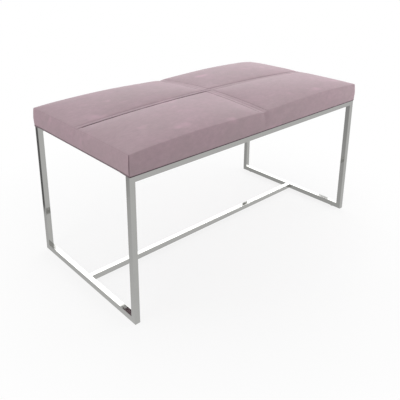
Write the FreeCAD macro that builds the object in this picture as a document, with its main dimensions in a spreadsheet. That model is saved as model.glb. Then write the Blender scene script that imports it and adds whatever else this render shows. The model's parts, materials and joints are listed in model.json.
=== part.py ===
# Upholstered bench: a mirror-plated square tube frame under a sewn four-panel seat.
# X runs along the length, the front is towards -Y, and Z = 0 is the floor under the glides.
import FreeCAD, Part
import math
import os
import Sketcher

doc = FreeCAD.newDocument("Bench")
sheet = doc.addObject("Spreadsheet::Sheet", "Sizes")

# Driving sizes in millimetres; heights of the crown are measured from the top of the foam
SIZES = (
    ("frame_length", 914),
    ("frame_depth", 464),
    ("frame_height", 402),
    ("tube", 16),
    ("tube_wall", 1.5),
    ("tube_round", 1.2),
    ("glide_height", 2),
    ("glide_width", 13),
    ("glide_stem", 8),
    ("glide_stem_length", 7),
    ("glide_inset", 36),
    ("glide_fit", 0.1),
    ("tab_width", 40),
    ("tab_reach", 36),
    ("tab_thickness", 3),
    ("tab_corner", 8),
    ("tab_pitch", 600),
    ("tab_hole_reach", 24),
    ("bolt_width", 5.8),
    ("bolt_length", 18),
    ("bolt_head_width", 10),
    ("bolt_head_height", 4),
    ("bolt_clearance", 0.4),
    ("washer_width", 14),
    ("washer_thickness", 1.6),
    ("nut_barrel", 8),
    ("nut_length", 11),
    ("nut_flange", 19),
    ("nut_flange_thickness", 1.5),
    ("nut_fit", 0.1),
    ("cover_thickness", 1),
    ("turn_under", 26),
    ("lining_gap", 0.5),
    ("deck_thickness", 15),
    ("deck_inset", 1.5),
    ("foam_thickness", 34),
    ("foam_draw", 5),
    ("soft_clearance", 0.3),
    ("sew_gap", 0.1),
    ("side_bulge", 6.2),
    ("roll_width", 8),
    ("roll_out", 2),
    ("roll_height", 9),
    ("corner_height", 5.5),
    ("notch_height", 11),
    ("edge_arch", 4.5),
    ("end_height", 9.5),
    ("cross_height", 21.5),
    ("crown_arch", 12.5),
    ("seam_end_height", 9),
    ("seam_centre_height", 24),
    ("seam_arch", 8),
    ("channel_width", 14),
    ("channel_depth", 4.5),
    ("crossing_dip", 0.8),
)
for row, (alias, number) in enumerate(SIZES, 1):
    sheet.set("A%d" % row, alias)
    sheet.set("B%d" % row, str(number))
    sheet.setAlias("B%d" % row, alias)
doc.recompute()


class Dim:
    """A length that keeps its value and the sheet expression behind it."""

    def __init__(self, text, value):
        self.text = text
        self.value = value

    def __add__(self, other):
        other = dim(other)
        return Dim("(%s + %s)" % (self.text, other.text), self.value + other.value)

    def __sub__(self, other):
        other = dim(other)
        return Dim("(%s - %s)" % (self.text, other.text), self.value - other.value)

    def __mul__(self, factor):
        return Dim("(%s * %.8g)" % (self.text, factor), self.value * factor)

    def __truediv__(self, factor):
        return Dim("(%s / %.8g)" % (self.text, factor), self.value / factor)

    def __neg__(self):
        return self * -1

    __rmul__ = __mul__


def dim(source):
    """A length from a name in the sheet or from a plain number."""
    if isinstance(source, Dim):
        return source
    if isinstance(source, str):
        return Dim("Sizes." + source, float(sheet.get(source)))
    return Dim("%.8g" % source, float(source))


def bind(item, name, length):
    item.setExpression(name, dim(length).text)


# Sketch helpers
def origin_plane(body, role):
    return [feature for feature in body.Origin.OriginFeatures if feature.Role == role][0]


def new_body(label):
    body = doc.addObject("PartDesign::Body", label)
    body.Label = label
    return body


def new_sketch(body, role, offset=0):
    sketch = body.newObject("Sketcher::SketchObject", "Profile")
    sketch.AttachmentSupport = [(origin_plane(body, role), "")]
    sketch.MapMode = "FlatFace"
    bind(sketch, "AttachmentOffset.Base.z", offset)
    return sketch


def flat_point(x, y):
    return FreeCAD.Vector(dim(x).value, dim(y).value, 0)


def pin_point(sketch, geometry, position, x, y):
    """Tie one point of a sketch to its two coordinates."""
    for kind, length in (("DistanceX", dim(x)), ("DistanceY", dim(y))):
        rule = Sketcher.Constraint(kind, -1, 1, geometry, position, length.value)
        bind(sketch, "Constraints[%d]" % sketch.addConstraint(rule), length)


def outline(sketch, corners):
    """Draw a closed outline; a corner of four values starts an arc through its last two."""
    edges = []
    for index, corner in enumerate(corners):
        start = flat_point(*corner[:2])
        end = flat_point(*corners[(index + 1) % len(corners)][:2])
        if len(corner) == 2:
            edges.append((sketch.addGeometry(Part.LineSegment(start, end), False), 1, 2))
            continue
        arc = sketch.addGeometry(Part.Arc(start, flat_point(*corner[2:]), end), False)
        forward = sketch.getPoint(arc, 1).distanceToPoint(start) < 1e-6
        edges.append((arc, 1, 2) if forward else (arc, 2, 1))
    for index, (edge, first, last) in enumerate(edges):
        after, after_first, after_last = edges[(index + 1) % len(edges)]
        sketch.addConstraint(Sketcher.Constraint("Coincident", edge, last, after, after_first))
    for corner, (edge, first, last) in zip(corners, edges):
        pin_point(sketch, edge, first, *corner[:2])
        if len(corner) == 4:
            via = sketch.addGeometry(Part.Point(flat_point(*corner[2:])), True)
            sketch.addConstraint(Sketcher.Constraint("PointOnObject", via, 1, edge))
            pin_point(sketch, via, 1, *corner[2:])


def rectangle(sketch, half_x, half_y):
    half_x, half_y = dim(half_x), dim(half_y)
    outline(sketch, ((-half_x, -half_y), (half_x, -half_y), (half_x, half_y), (-half_x, half_y)))


def circle(sketch, x, y, width):
    """Draw a circle of the given diameter."""
    radius = dim(width) / 2
    shape = Part.Circle(flat_point(x, y), FreeCAD.Vector(0, 0, 1), radius.value)
    edge = sketch.addGeometry(shape, False)
    pin_point(sketch, edge, 3, x, y)
    rule = Sketcher.Constraint("Radius", edge, radius.value)
    bind(sketch, "Constraints[%d]" % sketch.addConstraint(rule), radius)


# Feature helpers
def pad(body, sketch, length, side="One side", backwards=False):
    feature = body.newObject("PartDesign::Pad", "Pad")
    feature.Profile = sketch
    feature.SideType = side
    feature.Reversed = backwards
    bind(feature, "Length", length)
    return feature


def pocket(body, sketch, length=None):
    """Cut against the sketch's normal by a length, or both ways through everything."""
    feature = body.newObject("PartDesign::Pocket", "Pocket")
    feature.Profile = sketch
    if length is None:
        feature.Type = "ThroughAll"
        feature.SideType = "Symmetric"
    else:
        bind(feature, "Length", length)
    return feature


def fillet(body, base, edges, radius):
    feature = body.newObject("PartDesign::Fillet", "Fillet")
    feature.Base = (base, edges)
    bind(feature, "Radius", radius)
    return feature


def loft(body, sketches, ruled=False):
    feature = body.newObject("PartDesign::AdditiveLoft", "Loft")
    feature.Profile = sketches[0]
    feature.Sections = sketches[1:]
    feature.Ruled = ruled
    feature.Refine = False
    return feature


def place(body, x, y, z, turn=0):
    body.Placement = FreeCAD.Placement(
        FreeCAD.Vector(0, 0, 0), FreeCAD.Rotation(FreeCAD.Vector(0, 0, 1), turn))
    for axis, length in zip("xyz", (x, y, z)):
        bind(body, "Placement.Base." + axis, length)


# Shared lengths
length = dim("frame_length")
depth = dim("frame_depth")
tube = dim("tube")
rail_top = dim("glide_height") + "frame_height"
cover = dim("cover_thickness")
SIDES = {"left": -1, "right": 1, "front": -1, "rear": 1}
nodes = []

# Square tube frame
TUBE_PLANE = {"x": "YZ_Plane", "y": "XZ_Plane", "z": "XY_Plane"}


def tube_body(label, axis, run):
    """A square tube along one axis, centred on the origin, with rounded outer edges."""
    body = new_body(label)
    sketch = new_sketch(body, TUBE_PLANE[axis])
    rectangle(sketch, tube / 2, tube / 2)
    rectangle(sketch, tube / 2 - "tube_wall", tube / 2 - "tube_wall")
    base = pad(body, sketch, run, "Symmetric")
    doc.recompute()
    long_edges = []
    for index, edge in enumerate(base.Shape.Edges, 1):
        middle = edge.CenterOfMass
        on_corner = math.isclose(middle.Length, tube.value / math.sqrt(2), abs_tol=1e-6)
        if on_corner and math.isclose(edge.Length, run.value, abs_tol=1e-6):
            long_edges.append("Edge%d" % index)
    fillet(body, base, long_edges, "tube_round")
    nodes.append(body)
    return body


def mitre(body, role, run, end, long_side, upright=False):
    """Cut one end at 45 degrees, leaving the tube whole on its long side."""
    spare = tube / 4
    tip = run / 2 + spare
    heel = run / 2 - tube - spare
    across = (tube / 2 + spare) * long_side
    corners = ((tip * end, across), (heel * end, -across), (tip * end, -across))
    if upright:
        corners = [(second, first) for first, second in corners]
    sketch = new_sketch(body, role)
    outline(sketch, corners)
    pocket(body, sketch)


leg_x = (length - tube) / 2
leg_y = (depth - tube) / 2
leg_run = dim("frame_height")
bar_z = tube / 2 + "glide_height"
rail_z = rail_top - tube / 2

for end in ("front", "rear"):
    for hand in ("left", "right"):
        leg = tube_body("%s_%s_leg" % (end, hand), "z", leg_run)
        mitre(leg, "XZ_Plane", leg_run, 1, SIDES[hand], upright=True)
        mitre(leg, "YZ_Plane", leg_run, -1, SIDES[end], upright=True)
        place(leg, leg_x * SIDES[hand], leg_y * SIDES[end], leg_run / 2 + "glide_height")

for end in ("front", "rear"):
    rail = tube_body(end + "_rail", "x", length)
    mitre(rail, "XZ_Plane", length, -1, 1)
    mitre(rail, "XZ_Plane", length, 1, 1)
    place(rail, 0, leg_y * SIDES[end], rail_z)

glide_y = depth / 2 - "glide_inset"
for hand in ("left", "right"):
    bar = tube_body(hand + "_floor_bar", "y", depth)
    mitre(bar, "YZ_Plane", depth, -1, -1)
    mitre(bar, "YZ_Plane", depth, 1, -1)
    sketch = new_sketch(bar, "XY_Plane")
    for end in (-1, 1):
        circle(sketch, 0, glide_y * end, dim("glide_stem") + dim("glide_fit") * 2)
    pocket(bar, sketch, tube)
    place(bar, leg_x * SIDES[hand], 0, bar_z)

stretcher = tube_body("stretcher", "x", length - tube * 2)
place(stretcher, 0, 0, bar_z)

# Push-in glides under the floor bars
for end in ("front", "rear"):
    for hand in ("left", "right"):
        glide = new_body("%s_%s_glide" % (end, hand))
        sketch = new_sketch(glide, "XZ_Plane")
        head = dim("glide_width") / 2
        stem = dim("glide_stem") / 2
        high = dim("glide_height")
        tip = high + "glide_stem_length"
        outline(sketch, ((0, 0), (head, 0), (head, high), (stem, high), (stem, tip), (0, tip)))
        turned = glide.newObject("PartDesign::Revolution", "Revolution")
        turned.Profile = sketch
        turned.ReferenceAxis = (sketch, ["V_Axis"])
        turned.Angle = 360
        place(glide, leg_x * SIDES[hand], glide_y * SIDES[end], 0)
        nodes.append(glide)

# Welded tabs that the seat is bolted to
tab_x = {"left": -dim("tab_pitch") / 2, "right": dim("tab_pitch") / 2}
bolt_hole = dim("bolt_width") + dim("bolt_clearance") * 2
bolt_y = depth / 2 - tube - "tab_hole_reach"
for end in ("front", "rear"):
    for spot in ("left", "right"):
        tab = new_body("%s_%s_tab" % (end, spot))
        half = dim("tab_width") / 2
        reach = dim("tab_reach")
        corner = dim("tab_corner")
        inner = corner * 0.29289
        sketch = new_sketch(tab, "XY_Plane")
        outline(sketch, (
            (-half, 0), (half, 0),
            (half, reach - corner, half - inner, reach - inner), (half - corner, reach),
            (corner - half, reach, inner - half, reach - inner), (-half, reach - corner)))
        circle(sketch, 0, "tab_hole_reach", bolt_hole)
        pad(tab, sketch, "tab_thickness")
        turn = 0 if end == "front" else 180
        place(tab, tab_x[spot], (depth / 2 - tube) * SIDES[end],
              rail_top - "tab_thickness", turn)
        nodes.append(tab)

# Bolts, washers and tee nuts, one of each at every tab
bolt_spots = [(x, bolt_y * end) for end in (-1, 1) for x in tab_x.values()]
washer_z = rail_top - "tab_thickness" - "washer_thickness"


def fastener_body(label):
    body = new_body(label)
    body.AllowCompound = True
    nodes.append(body)
    return body


def round_set(body, z, width):
    """One circle at every bolt, on a level plane."""
    sketch = new_sketch(body, "XY_Plane", z)
    for x, y in bolt_spots:
        circle(sketch, x, y, width)
    return sketch


bolts = fastener_body("seat_bolts")
heads = new_sketch(bolts, "XY_Plane", washer_z - "bolt_head_height")
flat = dim("bolt_head_width") / math.sqrt(3)
turns = [math.radians(60 * step) for step in range(6)]
for x, y in bolt_spots:
    outline(heads, [(x + flat * math.cos(turn), y + flat * math.sin(turn)) for turn in turns])
pad(bolts, heads, "bolt_head_height")
pad(bolts, round_set(bolts, washer_z, "bolt_width"), "bolt_length")

washers = fastener_body("seat_washers")
sketch = round_set(washers, washer_z, "washer_width")
for x, y in bolt_spots:
    circle(sketch, x, y, bolt_hole)
pad(washers, sketch, "washer_thickness")

deck_z = rail_top + cover
deck_top = deck_z + "deck_thickness"
nuts = fastener_body("tee_nuts")
flange_z = deck_top - "nut_flange_thickness"
pad(nuts, round_set(nuts, flange_z, "nut_flange"), "nut_flange_thickness")
pad(nuts, round_set(nuts, deck_top - "nut_length", "nut_barrel"),
    dim("nut_length") - "nut_flange_thickness")
pocket(nuts, round_set(nuts, deck_top, dim("bolt_width") + dim("nut_fit") * 2), "nut_length")

# Plywood deck with rounded lower edges, bored and counterbored for the tee nuts
deck = new_body("seat_deck")
deck_half_x = length / 2 - "deck_inset"
deck_half_y = depth / 2 - "deck_inset"
sketch = new_sketch(deck, "XY_Plane", deck_z)
rectangle(sketch, deck_half_x, deck_half_y)
board = pad(deck, sketch, "deck_thickness")
doc.recompute()
lower_edges = ["Edge%d" % index for index, edge in enumerate(board.Shape.Edges, 1)
               if math.isclose(edge.BoundBox.ZMax, deck_z.value, abs_tol=1e-6)]
deck_round = dim("roll_width") - "deck_inset" + "soft_clearance"
fillet(deck, board, lower_edges, deck_round)
pocket(deck, round_set(deck, deck_top, dim("nut_barrel") + dim("nut_fit") * 2), "deck_thickness")
pocket(deck, round_set(deck, deck_top, dim("nut_flange") + dim("nut_fit") * 2),
       "nut_flange_thickness")
nodes.append(deck)

# Dust cover inside the turned-under edges of the bands
lining = new_body("dust_cover")
sketch = new_sketch(lining, "XY_Plane", rail_top)
border = dim("turn_under") + "lining_gap"
rectangle(sketch, length / 2 - border, depth / 2 - border)
for x, y in bolt_spots:
    circle(sketch, x, y, bolt_hole)
pad(lining, sketch, cover)
nodes.append(lining)

# Foam block whose sides swell behind the bands
foam = new_body("seat_foam")
foam_top = deck_top + "foam_thickness"
swell = dim("side_bulge") - cover - "soft_clearance"
sections = []
for step, draw in ((0, 1), (0.5, 0), (1, 1)):
    out = swell - dim("foam_draw") * draw
    sketch = new_sketch(foam, "XY_Plane", deck_top + dim("foam_thickness") * step)
    rectangle(sketch, length / 2 + out, depth / 2 + out)
    sections.append(sketch)
loft(foam, sections)
nodes.append(foam)

# Crown of the seat: heights along a panel, from the cross seam (0) to the end of the bench (1)
STATIONS = (0, 0.5, 1)
BAND_STATIONS = (0, 0.25, 0.5, 0.75, 1)
channel = dim("channel_width")


def arched(inner, outer, rise, step):
    return dim(inner) * (1 - step) + dim(outer) * step + dim(rise) * (4 * step * (1 - step))


def edge_height(step):
    return arched("notch_height", "corner_height", "edge_arch", step)


def crown_height(step):
    return arched("cross_height", "end_height", "crown_arch", step)


def seam_height(step):
    return arched("seam_centre_height", "seam_end_height", "seam_arch", step)


def station_x(step):
    return channel + (length / 2 - channel) * step


def crown_points(step, sunk):
    """Distances from the long seam and heights across one panel, out to its edge."""
    drop = dim("channel_depth") * (1 if sunk else 0)
    dip = dim("crossing_dip") if sunk else dim("channel_depth")
    seam = foam_top + seam_height(step) - drop
    return {
        "valley": (dim(0), seam - dip),
        "shoulder": (channel, seam),
        "crown": ((depth / 2 + channel) / 2, foam_top + crown_height(step) - drop),
        "edge": (depth / 2, foam_top + edge_height(step) - drop),
    }


def crown_sections(body, hand, draw):
    """The cross-seam section and those along one half, each drawn by its own rule."""
    sunk = new_sketch(body, "YZ_Plane", 0)
    draw(sunk, crown_points(0, True))
    sections = []
    for step in STATIONS:
        sketch = new_sketch(body, "YZ_Plane", station_x(step) * hand)
        draw(sketch, crown_points(step, False))
        sections.append(sketch)
    return sunk, sections


# Four sewn top panels
for end in ("front", "rear"):
    for hand in ("left", "right"):
        panel = new_body("%s_%s_panel" % (end, hand))
        side = SIDES[end]

        def draw_panel(sketch, points, side=side):
            valley, shoulder, crown, edge = [
                (y * side, z) for y, z in (points[key] for key in
                                           ("valley", "shoulder", "crown", "edge"))]
            backs = [(y, z - cover) for y, z in (edge, crown, shoulder, valley)]
            outline(sketch, [valley, shoulder + crown, edge] + backs)

        sunk, sections = crown_sections(panel, SIDES[hand], draw_panel)
        loft(panel, sections)
        loft(panel, (sunk, sections[0]), ruled=True)
        nodes.append(panel)

# Crown pad of soft fibre between the foam and the panels
crown_pad = new_body("crown_pad")
under = cover + "soft_clearance"
pad_edge = depth / 2 - cover - "soft_clearance"
pad_end = length / 2 - cover - "soft_clearance"


def draw_pad(sketch, points):
    valley, shoulder, crown, edge = [points[key] for key in
                                     ("valley", "shoulder", "crown", "edge")]
    half = [(y, z - under) for y, z in ((pad_edge, edge[1]), crown, shoulder)]
    other = [(-y, z) for y, z in reversed(half)]
    outline(sketch, [(-pad_edge, foam_top), (pad_edge, foam_top)] + half
            + [(valley[0], valley[1] - under)] + other)


for hand in (-1, 1):
    sunk, sections = crown_sections(crown_pad, hand, draw_pad)
    bind(sections[-1], "AttachmentOffset.Base.z", pad_end * hand)
    if hand < 0:
        loft(crown_pad, sections)
        loft(crown_pad, (sections[0], sunk), ruled=True)
    else:
        loft(crown_pad, (sunk, sections[0]), ruled=True)
        loft(crown_pad, sections)
nodes.append(crown_pad)

# Four side bands, swelling outwards, rolled under the deck and mitred at the corners
ROUND = math.sqrt(0.5)


def draw_band(sketch, face, side, top):
    """A band's section: turned-under edge, lower roll and swelling side."""
    roll = dim("roll_width")
    out = dim("roll_out")
    high = dim("roll_height")
    bulge = dim("side_bulge")
    waist = (top + rail_top + high) / 2

    def at(reach, z):
        return ((face + reach) * side, z)

    def roll_point(skin):
        return at((roll + out - skin) * ROUND - roll,
                  rail_top + high - (high - skin) * ROUND)

    bare = dim(0)
    low = rail_top + high
    outline(sketch, (
        at(-dim("turn_under"), rail_top),
        at(-roll, rail_top) + roll_point(bare),
        at(out, low) + at(bulge, waist),
        at(bare, top),
        at(-cover, top) + at(bulge - cover, waist),
        at(out - cover, low) + roll_point(cover),
        at(-roll, rail_top + cover),
        at(-dim("turn_under"), rail_top + cover)))


def band_body(label, role, normal, face, side, half_run, stations):
    """Loft a band along its edge; stations give the distance from its middle and the top."""
    body = new_body(label)
    sewn = cover + "sew_gap"

    def section(run, top):
        sketch = new_sketch(body, role, run * normal)
        draw_band(sketch, face, side, foam_top + top - sewn)
        return sketch

    hem = cover * 2
    stations = stations[:-1] + [(half_run - hem, stations[-1][1])]
    left = [section(-run, top) for run, top in reversed(stations)]
    right = [section(run, top) for run, top in stations]
    loft(body, left + right, ruled=True)
    for hand, sketch in ((-1, left[0]), (1, right[-1])):
        spare = dim("side_bulge") + dim("roll_width") + hem
        pad(body, sketch, spare, backwards=(hand * normal < 0))
        mitred = new_sketch(body, "XY_Plane", rail_top)
        spread = dim("turn_under") * 2
        tip = (half_run + spread) * hand
        heel = (half_run - spread) * hand
        outer = (face + spread) * side
        inner = (face - spread) * side
        corners = ((tip, outer), (heel, inner), (tip, inner))
        if role == "XZ_Plane":
            corners = [(second, first) for first, second in corners]
        outline(mitred, corners)
        pocket(body, mitred)
    notch = new_sketch(body, "XZ_Plane" if role == "YZ_Plane" else "YZ_Plane")
    brim = foam_top + stations[0][1] - sewn
    sunk = dim("channel_depth")
    outline(notch, ((0, brim - sunk), (channel * 2, brim + sunk), (-channel * 2, brim + sunk)))
    pocket(body, notch)
    nodes.append(body)


long_stations = [(station_x(step), edge_height(step)) for step in BAND_STATIONS]
end_stations = [
    (channel, seam_height(1)),
    ((depth / 2 + channel) / 2, crown_height(1)),
    (depth / 2, edge_height(1)),
]
for end in ("front", "rear"):
    band_body(end + "_band", "YZ_Plane", 1, depth / 2, SIDES[end], length / 2, long_stations)
for hand in ("left", "right"):
    band_body(hand + "_band", "XZ_Plane", -1, length / 2, SIDES[hand], depth / 2, end_stations)

# Rebuild, prove every object and write one file for each piece
doc.recompute()
for item in doc.Objects:
    if "Invalid" in item.State or "Error" in item.State:
        raise RuntimeError("%s failed: %s" % (item.Label, item.State))
for body in nodes:
    if body.Shape.isNull() or not body.Shape.isValid():
        raise RuntimeError("%s has no valid shape" % body.Label)
os.makedirs("parts", exist_ok=True)
for body in nodes:
    body.Shape.exportStep("parts/%s.step" % body.Label)
    box = body.Shape.BoundBox
    print("%-20s solids %d  volume %.0f  x %.1f %.1f  y %.1f %.1f  z %.1f %.1f" % (
        body.Label, len(body.Shape.Solids), body.Shape.Volume,
        box.XMin, box.XMax, box.YMin, box.YMax, box.ZMin, box.ZMax))
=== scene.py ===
"""Looks of an upholstered bench: a crowned mauve seat on a frame of mirror-plated square tube."""

import json
import math

import bpy
import numpy as np
from mathutils import Matrix, Vector
from mathutils.bvhtree import BVHTree


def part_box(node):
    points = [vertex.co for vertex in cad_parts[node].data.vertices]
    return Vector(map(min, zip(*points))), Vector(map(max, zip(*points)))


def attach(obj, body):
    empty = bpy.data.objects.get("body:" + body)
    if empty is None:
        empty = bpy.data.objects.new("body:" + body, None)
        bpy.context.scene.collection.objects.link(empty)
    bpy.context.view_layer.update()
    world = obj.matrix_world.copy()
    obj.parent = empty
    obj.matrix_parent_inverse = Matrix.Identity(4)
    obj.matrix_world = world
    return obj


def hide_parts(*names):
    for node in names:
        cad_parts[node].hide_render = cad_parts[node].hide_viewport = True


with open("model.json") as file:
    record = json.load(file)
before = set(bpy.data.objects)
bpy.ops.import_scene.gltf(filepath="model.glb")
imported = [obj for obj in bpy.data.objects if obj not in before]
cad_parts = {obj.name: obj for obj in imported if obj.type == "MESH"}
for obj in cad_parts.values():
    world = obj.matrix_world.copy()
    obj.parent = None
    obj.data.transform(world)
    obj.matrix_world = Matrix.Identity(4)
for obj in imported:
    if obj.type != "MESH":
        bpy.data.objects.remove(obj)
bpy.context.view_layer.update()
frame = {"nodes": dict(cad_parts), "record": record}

bl_info = {
    "name": "Upholstered Bench",
    "version": (1, 0, 0),
    "blender": (4, 5, 0),
    "location": "View3D > Sidebar > Bench",
    "description": "Builds the seat, stitching, lining and finishes of a bench around its CAD frame",
    "category": "Object",
}

RAIL_LOW, RAIL_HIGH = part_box("front_rail")
RAIL_TOP = RAIL_HIGH.z
DECK_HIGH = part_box("seat_deck")[1]
LINING_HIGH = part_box("dust_cover")[1]
TABS = [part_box(side + "_tab") for side in ("front_left", "front_right", "rear_left", "rear_right")]
COVER_NODES = ("front_left_panel", "front_right_panel", "rear_left_panel", "rear_right_panel",
               "front_band", "rear_band", "left_band", "right_band", "seat_foam", "crown_pad")
MM = 0.001
SAME = 1e-6  # metres; places closer than this are one

# Heights of the seat's top above the rails, in mm
EDGE_HEIGHT, NOTCH_HEIGHT, ARCH_HEIGHT, MIDDLE_HEIGHT = 56.0, 57.0, 63.4, 71.0
ARCH_AT = 0.225  # metres from the middle to the top of each arch of the long edges
# Lines of the cloth mesh, in mm: out from the middle, out from a seam's row, in from the edge
MIDDLE_LINES = (0.0, 1.0, 2.4)
SEAM_LINES = (-2.2, -0.9, 0.0, 0.9, 2.2, 4.5, 8.0, 13.0)
EDGE_LINES = (19.0, 12.0, 7.0, 3.6, 1.8, 0.7, 0.0)
# Marks of the cover's points: 1 on the top, less down the bands, below 0 on the lower roll, -1 underneath
TOP_MARK, SEWN_MARK, ROLL_START, ROLL_FOOT, UNDER_MARK = 1.0, 0.1, -0.02, -0.15, -1.0
BAND_MARKS = (0.975, 0.925, 0.84, 0.73, 0.61, 0.49, 0.37, 0.26, 0.15, 0.06)
# Lower roll of the cover: mark, then mm out from the rail's face and above its top
LOWER_ROLL = ((-0.01, 2.4, 3.3), (-0.03, 2.4, 1.5), (-0.05, 2.1, -0.1), (-0.07, 1.4, -1.2), (-0.09, 0.6, -1.1),
              (-0.11, 0.2, -0.1), (-0.13, -0.6, 0.5), (-0.16, -4.0, 0.5), (-0.18, -16.0, 0.5), (-0.2, -26.0, 0.5))
# Underside and the hollow for the deck: mm out from the deck's edge, then above the rails or above the deck
UNDERSIDE = ((-24.5, 0.8), (-23.5, 0.8), (-0.8, 0.8), (0.7, 0.8), (0.7, 1.8))
HOLLOW_TOP = ((0.7, -0.7), (0.7, 0.3), (-0.8, 0.3))
# Depths pressed into the cover after it is filled
ROW_DEPTH, JOIN_DEPTH, PUCKER_DEPTH, CORNER_DEPTH = 4.2 * MM, 0.5 * MM, 0.5 * MM, 1.5 * MM
END_DIMPLE, LONG_DIMPLE = 1.8 * MM, 2.3 * MM
PUCKER_REACH = 13 * MM
# Painted shade of the cover, from 0 to 1, at its corners, top edges, lower rolls, bands and folds
CORNER_SHADE, BRIM_SHADE, ROLL_SHADE, END_ROLL_SHADE, BAND_SHADE, FOLD_SHADE = 0.6, 0.07, 0.72, 0.56, 0.05, 0.04
FILL_FRAMES = 20

STITCH_MARGIN = 6 * MM  # from the end of a seam to its last stitch
STITCH_RISE = 0.18  # share of the thread's thickness that it is lifted by
LINING_RISE, TUCK_REACH = 0.32 * MM, 60 * MM
STAPLE_WIRE, STAPLE_BEVEL, STAPLE_RISE = (1.3 * MM, 0.6 * MM), 0.25 * MM, 0.06 * MM
STAPLE_INSET, STAPLE_MARGIN, TAB_CLEARANCE = 4 * MM, 12 * MM, 8 * MM
STAPLE_LEAN = math.radians(9)

# Soft lamps: name, place, aim, width and height, watts
LAMPS = (("overhead_lamp", (-0.5, 0.4, 3.0), (0.0, 0.0, 0.3), (2.6, 2.0), 10.0),
         ("rear_lamp", (2.95, 3.4, 2.4), (0.0, 0.0, 0.1), (3.4, 3.2), 78.0),
         ("left_lamp", (-2.6, -0.3, 1.3), (-0.3, 0.0, 0.35), (1.6, 1.6), 16.5),
         ("right_lamp", (2.7, 0.3, 1.5), (0.3, 0.0, 0.42), (1.8, 1.6), 12.5),
         ("front_lamp", (1.75, -1.15, 0.72), (0.4, -0.2, 0.43), (1.2, 0.8), 14.0))
# Camera that was fitted to the photo: place, axes, lens and sensor in mm, shift
CAMERA_PLACE = (-1.06559, -1.11536, 0.90490)
CAMERA_RIGHT = (0.74759395, -0.66415607, 0.0)
CAMERA_UP = (0.21213412, 0.23878451, 0.94761863)
CAMERA_BACK = (-0.62936667, -0.70843396, 0.31940402)
CAMERA_LENS, CAMERA_SENSOR, CAMERA_SHIFT = 46.97, 36.0, (0.0293, -0.2059)


class SeatSizes(bpy.types.PropertyGroup):
    """Sizes of the upholstered seat."""
    half_length: bpy.props.FloatProperty(
        name="Half Length", description="From the middle of the seat to its end at the top edge",
        default=RAIL_HIGH.x, unit="LENGTH")
    half_depth: bpy.props.FloatProperty(
        name="Half Depth", description="From the middle of the seat to its front at the top edge",
        default=-RAIL_LOW.y, unit="LENGTH")
    corner_radius: bpy.props.FloatProperty(
        name="Corner Radius", description="Rounding of the upright corners in plan",
        default=0.003, unit="LENGTH")
    side_bulge: bpy.props.FloatProperty(
        name="Side Bulge", description="How far the side bands stand out at half height",
        default=0.0058, unit="LENGTH")
    panel_fill: bpy.props.FloatProperty(
        name="Panel Fill", description="Rise of each top panel before it is inflated",
        default=0.0085, unit="LENGTH")
    cell: bpy.props.FloatProperty(
        name="Cloth Cell", description="Spacing of the cloth mesh away from the seams",
        default=0.009, unit="LENGTH")
    swell: bpy.props.FloatProperty(
        name="Swell Limit", description="Most that the cover may move while it is inflated",
        default=0.005, unit="LENGTH")
    pressure: bpy.props.FloatProperty(
        name="Pressure", description="Pressure that fills the cover", default=4.0, min=0.0)
    long_band: bpy.props.FloatProperty(
        name="Lengthwise Seam", description="Half width of the flat seam along the seat",
        default=0.008, unit="LENGTH")
    cross_band: bpy.props.FloatProperty(
        name="Cross Seam", description="Half width of the flat seam across the seat",
        default=0.0135, unit="LENGTH")


class TrimSizes(bpy.types.PropertyGroup):
    """Sizes of the thread, lining and staples."""
    stitch_pitch: bpy.props.FloatProperty(
        name="Stitch Pitch", description="Distance from one stitch to the next",
        default=0.0052, unit="LENGTH")
    stitch_length: bpy.props.FloatProperty(
        name="Stitch Length", description="Length of thread that shows", default=0.0040, unit="LENGTH")
    thread: bpy.props.FloatProperty(
        name="Thread", description="Thickness of the thread", default=0.0009, unit="LENGTH")
    lining_edge: bpy.props.FloatProperty(
        name="Lining Lap", description="How far the lining laps over the turned-in cover",
        default=0.006, unit="LENGTH")
    staple_pitch: bpy.props.FloatProperty(
        name="Staple Pitch", description="Distance from one staple to the next", default=0.042, unit="LENGTH")
    staple_width: bpy.props.FloatProperty(
        name="Staple Crown", description="Length of a staple's crown", default=0.010, unit="LENGTH")


COLOUR = {"subtype": "COLOR", "size": 3, "min": 0.0, "max": 1.0}


class BenchColours(bpy.types.PropertyGroup):
    """Colours of the finishes."""
    cover: bpy.props.FloatVectorProperty(
        name="Seat Cover", description="Dusty mauve of the cover", **COLOUR, default=(0.507, 0.356, 0.406))
    cover_blush: bpy.props.FloatVectorProperty(
        name="Cover Blush", description="Pinker patches of the cover", **COLOUR, default=(0.60, 0.405, 0.475))
    cover_shade: bpy.props.FloatVectorProperty(
        name="Cover Shade", description="Greyer patches of the cover", **COLOUR, default=(0.461, 0.348, 0.375))
    thread: bpy.props.FloatVectorProperty(
        name="Thread", description="Sewing thread", **COLOUR, default=(0.36, 0.27, 0.30))
    chrome: bpy.props.FloatVectorProperty(
        name="Plating", description="Mirror plating of the tubes", **COLOUR, default=(0.47, 0.47, 0.455))
    nylon: bpy.props.FloatVectorProperty(
        name="Glides", description="Moulded plastic of the glides", **COLOUR, default=(0.75, 0.75, 0.73))
    zinc: bpy.props.FloatVectorProperty(
        name="Fasteners", description="Zinc plating of bolts, washers and nuts", **COLOUR, default=(0.6, 0.6, 0.6))
    veneer: bpy.props.FloatVectorProperty(
        name="Plywood", description="Face veneer of the deck", **COLOUR, default=(0.62, 0.47, 0.30))
    lining: bpy.props.FloatVectorProperty(
        name="Lining", description="Non-woven lining under the seat, matched to the cover",
        **COLOUR, default=(0.42, 0.31, 0.345))


# Helpers for nodes and materials

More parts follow.
